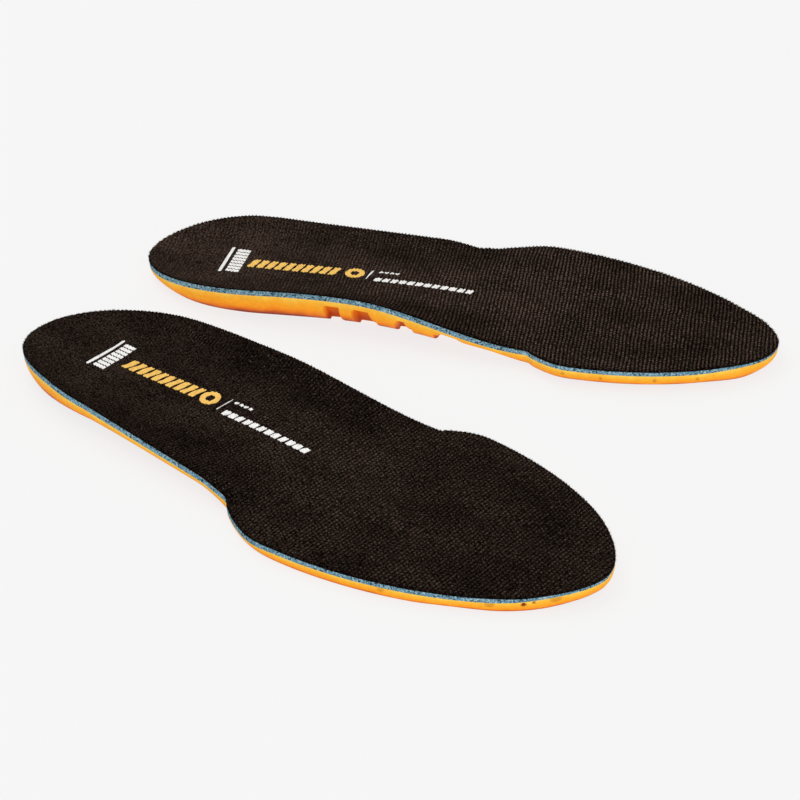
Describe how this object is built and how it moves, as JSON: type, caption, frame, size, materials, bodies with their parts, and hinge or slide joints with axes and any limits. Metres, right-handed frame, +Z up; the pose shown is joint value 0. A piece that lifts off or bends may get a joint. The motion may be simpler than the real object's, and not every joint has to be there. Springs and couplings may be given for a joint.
{
  "type": "cushioned insole pair",
  "caption": "Left and right contoured footbed insoles: knitted cover over soft foam on a moulded base with a heel cup, arch struts and cone cushions, flexing at the ball of the foot.",
  "frame": {"origin": "on the ground, under the middle of the pair's overall box", "axes": "+X along the pair's longest extent, heels to toes; +Z up from the ground; +Y away from the front insole, which is the right one"},
  "size_m": [0.3198, 0.2694, 0.02],
  "materials": {
    "knit_cover": "brushed rib knit, matt, slightly fuzzy",
    "cushion_foam": "open-cell foam, speckled, matt",
    "moulded_base": "moulded polyurethane, satin",
    "white_print": "screen-printed ink",
    "yellow_print": "screen-printed ink"
  },
  "bodies": {
    "right_rear": {"right_cover_heel": "knit_cover", "right_foam_heel": "cushion_foam", "right_base_heel": "moulded_base", "right_heel_mark": "white_print", "right_name_mark": "yellow_print", "right_round_mark": "yellow_print", "right_divider_mark": "white_print", "right_arch_mark": "white_print"},
    "right_forefoot": {"right_cover_forefoot": "knit_cover", "right_foam_forefoot": "cushion_foam", "right_base_forefoot": "moulded_base"},
    "left_rear": {"left_cover_heel": "knit_cover", "left_foam_heel": "cushion_foam", "left_base_heel": "moulded_base", "left_heel_mark": "white_print", "left_name_mark": "yellow_print", "left_round_mark": "yellow_print", "left_divider_mark": "white_print", "left_arch_mark": "white_print"},
    "left_forefoot": {"left_cover_forefoot": "knit_cover", "left_foam_forefoot": "cushion_foam", "left_base_forefoot": "moulded_base"}
  },
  "joints": [
    {"name": "right_toe_flex", "type": "hinge", "parent": "right_rear", "child": "right_forefoot", "pos_m": [-0.00603, -0.07317, 0.00948], "axis": [-0.795, -0.6059, -0.0305], "range_deg": [0, 50], "stiffness_Nm_per_rad": 0.8},
    {"name": "left_toe_flex", "type": "hinge", "parent": "left_rear", "child": "left_forefoot", "pos_m": [0.0709, 0.06576, 0.00948], "axis": [-0.0055, -0.9995, 0.0305], "range_deg": [0, 50], "stiffness_Nm_per_rad": 0.8},
    {"name": "left_lift", "type": "slide", "parent": "right_rear", "child": "left_rear", "axis": [0, 0, 1], "range_m": [0, 0.06]}
  ]
}
